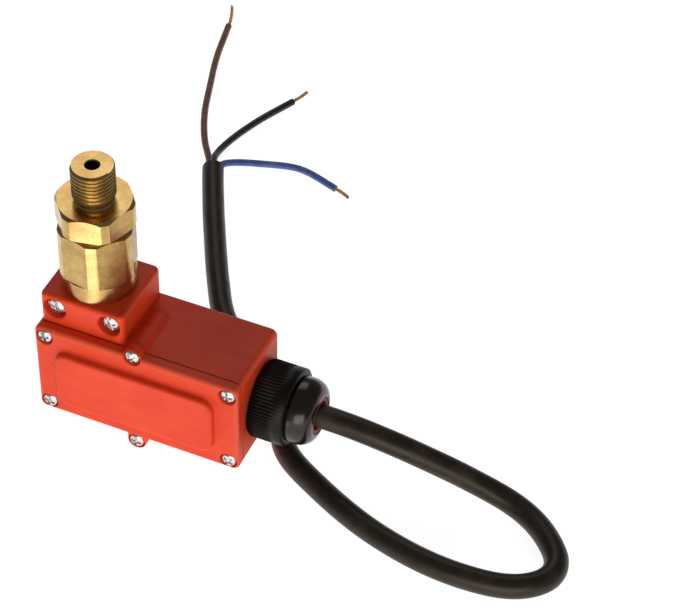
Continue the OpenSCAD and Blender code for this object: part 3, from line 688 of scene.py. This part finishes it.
def make_thread():
    """A right-hand thread from one turn's outline, with a chamfer at its tip and a run-out."""
    root = THREAD_R - THREAD_DEPTH
    outline = [(root, 0), (root + 0.06, 0.08), (THREAD_R - 0.09, 0.50), (THREAD_R, 0.61),
               (THREAD_R, 0.73), (THREAD_R - 0.09, 0.84), (root + 0.06, 1.26), (root, PITCH)]
    turns = 11
    per_turn = 64
    bm = bmesh.new()
    verts = [bm.verts.new((radius, 0, height)) for radius, height in outline]
    edges = [bm.edges.new(pair) for pair in zip(verts, verts[1:])]
    bmesh.ops.translate(bm, vec=(0, 0, RELIEF_H - 1.6 * PITCH), verts=bm.verts)
    bmesh.ops.spin(bm, geom=verts + edges, cent=(0, 0, 0), axis=(0, 0, 1),
                   dvec=(0, 0, PITCH / per_turn), angle=2 * math.pi * turns, steps=per_turn * turns)
    bmesh.ops.remove_doubles(bm, verts=bm.verts, dist=1e-3)
    for vert in bm.verts:
        radius = math.hypot(vert.co.x, vert.co.y)
        most = min(THREAD_R - 0.35 - (vert.co.z - TIP) * 0.9, RELIEF_R + (vert.co.z - RELIEF_H) * 1.2)
        limit = max(min(radius, most), min(root, RELIEF_R)) / radius
        vert.co.x *= limit
        vert.co.y *= limit
    for height, side in ((RELIEF_H, 1), (TIP, -1)):
        cut = bmesh.ops.bisect_plane(bm, geom=bm.verts[:] + bm.edges[:] + bm.faces[:], dist=1e-4,
                                     plane_co=(0, 0, height), plane_no=(0, 0, side),
                                     clear_inner=True)["geom_cut"]
        rim = [e for e in cut if isinstance(e, bmesh.types.BMEdge)]
        bmesh.ops.contextual_create(bm, geom=rim)
    bmesh.ops.recalc_face_normals(bm, faces=bm.faces)
    return bm


def make_port_stem():
    collar = turned([(0, MALE_END), (7.5, MALE_END), (MALE_R, MALE_END + 0.5), (MALE_R, COLLAR_FOOT),
                     (COLLAR_R - 0.3, COLLAR_FOOT), (COLLAR_R, COLLAR_FOOT + 0.3), (COLLAR_R, -0.9),
                     (FLAT, 0), (RELIEF_R + 0.3, 0), (RELIEF_R, 0.3), (RELIEF_R, RELIEF_H + 0.1),
                     (0, RELIEF_H + 0.1)], 120)
    stem = combined(collar, hexagon_ring(COLLAR_FOOT - 1, 0.5, COLLAR_TURN), "DIFFERENCE")
    rounded(stem, 0.12, 2, lambda a, b: min(a.xy.length, b.xy.length) > FLAT - 0.3)
    stem = combined(stem, make_thread(), "UNION")
    bore = turned([(0, TIP + 1), (PORT_R + 1.25, TIP + 1), (PORT_R + 0.25, TIP), (PORT_R, TIP - 0.25),
                   (PORT_R, PISTON_BORE_TOP), (PISTON_BORE_R, PISTON_BORE_TOP),
                   (PISTON_BORE_R, MALE_END - 1), (0, MALE_END - 1)], 64)
    piece("stem_brass", combined(stem, bore, "DIFFERENCE"), "port_stem")


def make_spring_body():
    foot_top = HEAD_TOP + FOOT_H
    hexed = turned([(8, foot_top), (BODY_R, foot_top), (BODY_R, BODY_TOP - 0.5), (BODY_R - 0.8, BODY_TOP),
                    (8.3, BODY_TOP), (8, BODY_TOP - 0.3)], 120, closed=True)
    hexed = combined(hexed, hexagon_ring(foot_top - 1, BODY_TOP + 1, BODY_TURN), "DIFFERENCE")
    rounded(hexed, 0.12, 2, lambda a, b: min(a.xy.length, b.xy.length) > FLAT - 0.6
            and min(a.z, b.z) > foot_top + 0.1)
    groove = CLAMP_Z
    ring = HEAD_TOP - 1.8
    core = turned([(CHAMBER_R, NECK_END + 0.3), (CHAMBER_R + 0.3, NECK_END), (NECK_R - 0.4, NECK_END),
                   (NECK_R, NECK_END + 0.4), (NECK_R, groove - CLAMP_GROOVE_HALF),
                   (CLAMP_GROOVE_R, groove - CLAMP_GROOVE_HALF),
                   (CLAMP_GROOVE_R, groove + CLAMP_GROOVE_HALF),
                   (NECK_R, groove + CLAMP_GROOVE_HALF), (NECK_R, ring - RING_GROOVE_HALF),
                   (NECK_R - RING_GROOVE_IN, ring - RING_GROOVE_HALF),
                   (NECK_R - RING_GROOVE_IN, ring + RING_GROOVE_HALF), (NECK_R, ring + RING_GROOVE_HALF),
                   (NECK_R, HEAD_TOP + 0.05), (FOOT_R - 0.35, HEAD_TOP + 0.05), (FOOT_R, HEAD_TOP + 0.4),
                   (FOOT_R, foot_top - 0.25), (FOOT_R - 0.2, foot_top), (FOOT_R - 0.2, foot_top + 0.05),
                   (8.5, foot_top + 0.05), (8.5, foot_top + 1), (8, foot_top + 1), (8, BODY_TOP - 9),
                   (CHAMBER_R, BODY_TOP - 9)], 120, closed=True)
    piece("body_brass", combined(core, hexed, "UNION"), "spring_body")


def make_spring():
    """A compression spring whose end turns lie flat."""
    wire, turns, per_turn = 0.7, 7, 24
    bottom, top = low("main_spring").z + wire, high("main_spring").z - wire
    radius = high("main_spring").x - wire

    def height(a):
        if a < 1:
            return 0.08 * a
        if a > turns - 1:
            return 1 - 0.08 * (turns - a)
        return 0.08 + 0.84 * (a - 1) / (turns - 2)

    points = []
    for i in range(turns * per_turn + 1):
        angle = 2 * math.pi * i / per_turn
        points.append((radius * math.cos(angle), radius * math.sin(angle),
                       bottom + (top - bottom) * height(i / per_turn)))
    spring = dressed(tube_mesh("spring_coil", points, wire, 3), "main_spring")
    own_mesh(spring)


make_port_stem()
make_spring_body()
make_spring()


# ---- box ----

def hole(radius, depth, lip, x, y, z, direction=(0, 1, 0)):
    """A tool for a round hole with a small chamfer at its mouth."""
    return placed(turned([(0, -1), (radius + lip + 1, -1), (radius, lip), (radius, depth), (0, depth)], 48),
                  (x, y, z), direction)


def rod(radius, length, x, y, z, direction=(0, 1, 0)):
    return placed(turned([(0, 0), (radius, 0), (radius, length), (0, length)], 48), (x, y, z), direction)


def lobe(screw, side, front, back, front_share=1.0, back_share=1.0):
    """The lobe round a middle screw, side 1 for the top; the shares make it lower at each end."""
    x, z = screw
    near = BOX_TOP if side > 0 else BOX_BOTTOM
    tip, foot = z + side * LOBE_R, near - side * 1.5
    bar = block((x - LOBE_R, front, min(tip, foot)), (x + LOBE_R, back, max(tip, foot)))
    rounded(bar, LOBE_R - 0.05, 8, lambda a, b: along(1)(a, b) and abs(a.z - tip) < 0.01)
    for vert in bar.verts:
        if side * (vert.co.z - near) > 0.01:
            share = front_share if vert.co.y < front + 1 else back_share
            vert.co.z = near + (vert.co.z - near) * share
    return bar


def make_housing():
    shell = block((BOX_LEFT, BOX_FRONT, BOX_BOTTOM), (BOX_RIGHT, BOX_BACK, BOX_TOP))
    rounded(shell, CORNER_R, 6, along(1))
    rounded(shell, 1.2, 3, on_plane(1, BOX_BACK))
    rounded(shell, 0.12, 2, on_plane(1, BOX_FRONT))
    head = block((-HEAD_W / 2, BOX_FRONT, BOX_TOP - 3), (HEAD_W / 2, BOX_BACK, HEAD_TOP))
    rounded(head, 2.0, 5, along(2))
    rounded(head, 1.2, 4, on_plane(2, HEAD_TOP))
    solid = combined(shell, head, "UNION")
    for screw, side in zip(MIDDLE_SCREWS, (1, -1)):
        shares = RIB_SHARES if side > 0 else (1, 1)
        rib = lobe(screw, side, BOX_FRONT, BOX_FRONT + RIB_L, *shares)
        solid = combined(solid, rib, "UNION")
    rounded(solid, 0.7, 3, lambda a, b: abs(a.z - BOX_TOP) < 0.01 and abs(b.z - BOX_TOP) < 0.01
            and min(a.y, b.y) > BOX_FRONT + 0.3)
    cavity = block((BOX_LEFT + WALL, BOX_FRONT - 1, BOX_BOTTOM + WALL),
                   (BOX_RIGHT - WALL, BOX_BACK - WALL, BOX_TOP - WALL))
    solid = combined(solid, rounded(cavity, 1, 3, along(1)), "DIFFERENCE")
    inner = [rod(BOSS_R, BOX_BACK - BOX_FRONT - 1, x, BOX_FRONT + 0.02, z) for x, z in CORNER_SCREWS]
    inner.append(rod(GLAND_BOSS_R, 7, BOX_RIGHT - 8, 0, GLAND_Z, (1, 0, 0)))
    for solid_rod in inner:
        solid = combined(solid, solid_rod, "UNION")
    cuts = [hole(1.3, 14, 0.2, x, BOX_FRONT, z) for x, z in COVER_SCREWS]
    cuts += [hole(CLAMP_HOLE_R, CLAMP_SEAT - BOX_FRONT, 0.35, side * CLAMP_X, BOX_FRONT, CLAMP_Z)
             for side in (-1, 1)]
    cuts += [rod(1.8, 21, side * CLAMP_X, CLAMP_SEAT - 0.5, CLAMP_Z) for side in (-1, 1)]
    cuts.append(hole(NECK_R + 0.04, 14, 0.3, 0, 0, HEAD_TOP, (0, 0, -1)))
    cuts.append(hole(8, 12, 0.2, BOX_RIGHT, 0, GLAND_Z, (-1, 0, 0)))
    for cut in cuts:
        solid = combined(solid, cut, "DIFFERENCE")
    piece("housing_moulding", solid, "housing", sharp=40)


def make_cover():
    back = COVER_HIGH.y
    plate = block((BOX_LEFT, COVER_FACE, BOX_BOTTOM), (BOX_RIGHT, back, BOX_TOP))
    rounded(plate, CORNER_R, 6, along(1))
    rounded(plate, 1.3, 4, on_plane(1, COVER_FACE))
    rounded(plate, 0.12, 2, on_plane(1, back))
    panel = block((BOX_LEFT + PANEL_IN_X, PANEL_FACE, BOX_BOTTOM + PANEL_IN_Z),
                  (BOX_RIGHT - PANEL_IN_X, back - 1, BOX_TOP - PANEL_IN_Z))
    rounded(panel, 4, 8, along(1))
    rounded(panel, 1.1, 4, on_plane(1, PANEL_FACE))
    for screw, side in zip(MIDDLE_SCREWS, (1, -1)):
        bump = rounded(lobe(screw, side, COVER_FACE, back), 0.9, 4, on_plane(1, COVER_FACE))
        plate = combined(plate, bump, "UNION")
    solid = combined(plate, panel, "UNION")
    rounded(solid, 0.9, 3, lambda a, b: abs(a.y - COVER_FACE) < 0.01 and abs(b.y - COVER_FACE) < 0.01
            and BOX_LEFT + 5 < min(a.x, b.x) and max(a.x, b.x) < BOX_RIGHT - 5)
    hollow = block((BOX_LEFT + PANEL_IN_X + WALL, PANEL_FACE + WALL, BOX_BOTTOM + PANEL_IN_Z + WALL),
                   (BOX_RIGHT - PANEL_IN_X - WALL, back + 1, BOX_TOP - PANEL_IN_Z - WALL))
    solid = combined(solid, rounded(hollow, 2.5, 5, along(1)), "DIFFERENCE")
    for x, z in COVER_SCREWS:
        solid = combined(solid, hole(COVER_HEAD_R + 0.2, COVER_SEAT_IN, 0.25, x, COVER_FACE, z), "DIFFERENCE")
        solid = combined(solid, rod(1.35, 6, x, COVER_FACE - 1, z), "DIFFERENCE")
    # two small moulding marks
    for x, z in ((BOX_LEFT + 4.1, BOX_BOTTOM + 17.5), (BOX_RIGHT - 3.9, BOX_BOTTOM + 18)):
        dot = turned([(0, 0), (1.0, 0), (0.6, 0.22), (0, 0.3)], 24)
        dot = placed(dot, (x, COVER_FACE + 0.05, z), (0, -1, 0))
        solid = combined(solid, dot, "UNION")
    piece("cover_moulding", solid, "cover", sharp=40)


def make_gasket():
    lowest, highest = low("cover_gasket"), high("cover_gasket")
    ring = rounded(block(lowest, highest), 2.0, 5, along(1))
    window = block(lowest + Vector((1.8, -1, 1.8)), highest + Vector((-1.8, 1, -1.8)))
    ring = combined(ring, window, "DIFFERENCE")
    for x, z in COVER_SCREWS:
        ring = combined(ring, rod(1.55, 3, x, lowest.y - 1, z), "DIFFERENCE")
    piece("gasket_rubber", ring, "cover_gasket")


def pan_head(radius, height, shank_r, length, slots):
    """A screw with its seat at the origin, its head towards -Z, and tapered slots in the head."""
    screw = turned([(0, -height), (radius * 0.45, -height * 0.98), (radius * 0.78, -height * 0.80),
                    (radius * 0.95, -height * 0.48), (radius, -height * 0.2), (radius, -0.05),
                    (radius - 0.08, 0), (shank_r, 0), (shank_r, length - shank_r),
                    (shank_r * 0.3, length), (0, length)], 40)
    for turn, width, reach, depth in slots:
        slot = block((-reach, -width, -height - 1), (reach, width, -height + depth))
        floor_edges = on_plane(2, -height + depth)
        rounded(slot, width * 0.5, 2, floor_edges)
        bmesh.ops.rotate(slot, cent=(0, 0, 0), matrix=Matrix.Rotation(math.radians(turn), 3, "Z"),
                         verts=slot.verts)
        screw = combined(screw, slot, "DIFFERENCE")
    return screw


def make_screws(name, node, places, seat, head):
    """Copies one screw to each place, each turned by a different angle."""
    made = []
    for i, (x, z) in enumerate(places):
        screw = pan_head(*head)
        bmesh.ops.rotate(screw, cent=(0, 0, 0), verts=screw.verts,
                         matrix=Matrix.Rotation(math.radians(17 + 53 * i), 3, "Z"))
        made.append(placed(screw, (x, seat, z), (0, 1, 0)))
    piece(name, gathered(made), node)


make_housing()
make_cover()
make_gasket()
make_screws("cover_pan_screws", "cover_screws", COVER_SCREWS, COVER_SEAT,
            (COVER_HEAD_R, 1.8, 1.25, 14, [(0, 0.46, 1.7, 1.15), (90, 0.46, 1.7, 1.15)]))
make_screws("clamp_pan_screws", "clamp_screws", [(-CLAMP_X, CLAMP_Z), (CLAMP_X, CLAMP_Z)], CLAMP_SEAT,
            (CLAMP_HEAD_R, 2.2, 1.7, 20, [(0, 0.45, 4, 0.9), (90, 0.4, 2.1, 1.1)]))


# ---- gland ----

def make_gland_body():
    """The screwed ring: fine ridges that run out into a smooth band, and a bore right through."""
    ridges, per_ridge = 72, 6
    start, end = GLAND_LOW.x, GLAND_HIGH.x
    box = BOX_RIGHT + 0.4
    outer = high("gland_body").z - GLAND_Z
    band = end - 3.4
    profile = [(4, start), (7.6, start), (7.95, start + 0.4), (7.95, box), (outer - 0.6, box),
               (outer, box + 0.6), (outer, box + 3), (outer, band - 2), (outer, band - 0.7), (outer, band),
               (outer, end - 0.6), (outer - 0.7, end), (9, end), (9, end - 6.6), (5.9, end - 6.6),
               (5.9, end - 8.4), (4, end - 8.4)]
    bm = turned(profile, ridges * per_ridge, closed=True)
    for vert in bm.verts:
        x, radius = vert.co.z, vert.co.xy.length
        if radius > outer - 0.65 and x < band - 0.1:
            turn = math.atan2(vert.co.y, vert.co.x) * ridges
            depth = 0.42 * (0.5 - 0.5 * math.cos(turn)) ** 0.7
            fade = min(1, (band - x) / 0.9)
            vert.co.xy *= (radius - depth * fade) / radius
    piece("gland_ring", placed(bm, (0, 0, GLAND_Z), (1, 0, 0)), "gland_body", sharp=50, flat_faces=False)


def make_gland_nut():
    """The domed nut: a short straight wall on the ring, then one round shoulder to the mouth."""
    start = GLAND_HIGH.x
    radius = high("gland_nut").z - GLAND_Z
    mouth, wall_l, rim = 5.9, 2.4, 0.35
    reach = radius - mouth - rim
    profile = [(mouth, start - 6), (8.95, start - 6), (8.95, start + 0.05), (radius - 0.3, start + 0.05),
               (radius, start + 0.4), (radius, start + 1.4), (radius, start + wall_l)]
    for i in range(1, 13):
        angle = math.pi / 2 * i / 12
        profile.append((radius - reach * (1 - math.cos(angle)),
                        start + wall_l + (MOUTH - start - wall_l) * math.sin(angle)))
    profile += [(mouth + 0.1, MOUTH - 0.08), (mouth, MOUTH - 0.3)]
    bm = turned(profile, 96, closed=True)
    piece("gland_dome", placed(bm, (0, 0, GLAND_Z), (1, 0, 0)), "gland_nut", sharp=50, flat_faces=False)


def make_gland_seal():
    start, end = low("gland_seal").x, high("gland_seal").x
    outer = high("gland_seal").z - GLAND_Z
    inner = CABLE_R + 0.35
    lip = outer - 1.25
    profile = [(inner, start), (outer, start), (outer, end - 0.2), (outer - 0.2, end), (lip + 0.15, end),
               (lip, end - 0.15), (lip, end - 1.2), (inner, end - 1.3)]
    bm = turned(profile, 64, closed=True)
    for vert in bm.verts:
        if vert.co.z > end - 0.3:
            vert.co.z -= 0.1 * (0.5 + 0.5 * math.sin(26 * math.atan2(vert.co.y, vert.co.x)))
    piece("seal_rubber", placed(bm, (0, 0, GLAND_Z), (1, 0, 0)), "gland_seal", sharp=50, flat_faces=False)


make_gland_body()
make_gland_nut()
make_gland_seal()


# ---- the nodes that keep their CAD shape ----

for name, obj in frame["nodes"].items():
    if not obj.hide_render:
        obj.data.materials.clear()
        obj.data.materials.append(MATERIALS[SLOTS[name]])


# ---- floor and light ----

POOL_CENTRE = (14, -92)
POOL_R = 26
POOL_GLOW = 3.4
TABLE_GLOW = 0.85


def make_floor():
    """A white light table, with a brighter pool in front of the fitting."""
    bm = bmesh.new()
    bmesh.ops.create_grid(bm, x_segments=1, y_segments=1, size=6)
    bmesh.ops.translate(bm, vec=(0, 0, FLOOR * MM - 0.0002), verts=bm.verts)
    floor = to_object(bm, "floor")
    s = Shader("pale_floor", Roughness=0.6)
    x, y, _ = s.axes()
    away = ((x - POOL_CENTRE[0]) ** 2 + (y - POOL_CENTRE[1]) ** 2) ** 0.5
    glow = s.mix(s.ramp(away, 0.8 * POOL_R, 1.4 * POOL_R), rgb(1, 1, 1), rgb(*[TABLE_GLOW / POOL_GLOW] * 3))
    s.show(Base_Color=rgb(0.93, 0.93, 0.93), Emission_Color=glow)
    s.surface.inputs["Emission Strength"].default_value = POOL_GLOW
    floor.data.materials.append(s.material)


def softbox(name, place, target, width, height, power):
    data = bpy.data.lights.new(name, "AREA")
    data.shape = "RECTANGLE"
    data.size, data.size_y = width, height
    data.energy = power
    lamp = bpy.data.objects.new(name, data)
    bpy.context.scene.collection.objects.link(lamp)
    lamp.location = place
    lamp.rotation_mode = "QUATERNION"
    lamp.rotation_quaternion = (Vector(target) - Vector(place)).to_track_quat("-Z", "Y")


def make_light():
    world = bpy.data.worlds.new("studio")
    world.use_nodes = True
    world.node_tree.nodes["Background"].inputs["Color"].default_value = rgb(1, 1, 1)
    world.node_tree.nodes["Background"].inputs["Strength"].default_value = 0.15
    bpy.context.scene.world = world
    bpy.context.scene.view_settings.view_transform = "Standard"
    softbox("front_light", (0.35, -0.85, 0.14), (0.02, 0, -0.05), 0.9, 0.45, 4.6)
    softbox("back_card", (-0.25, 0.60, 0.60), (0, 0, -0.02), 0.45, 0.45, 1.0)


make_floor()
make_light()
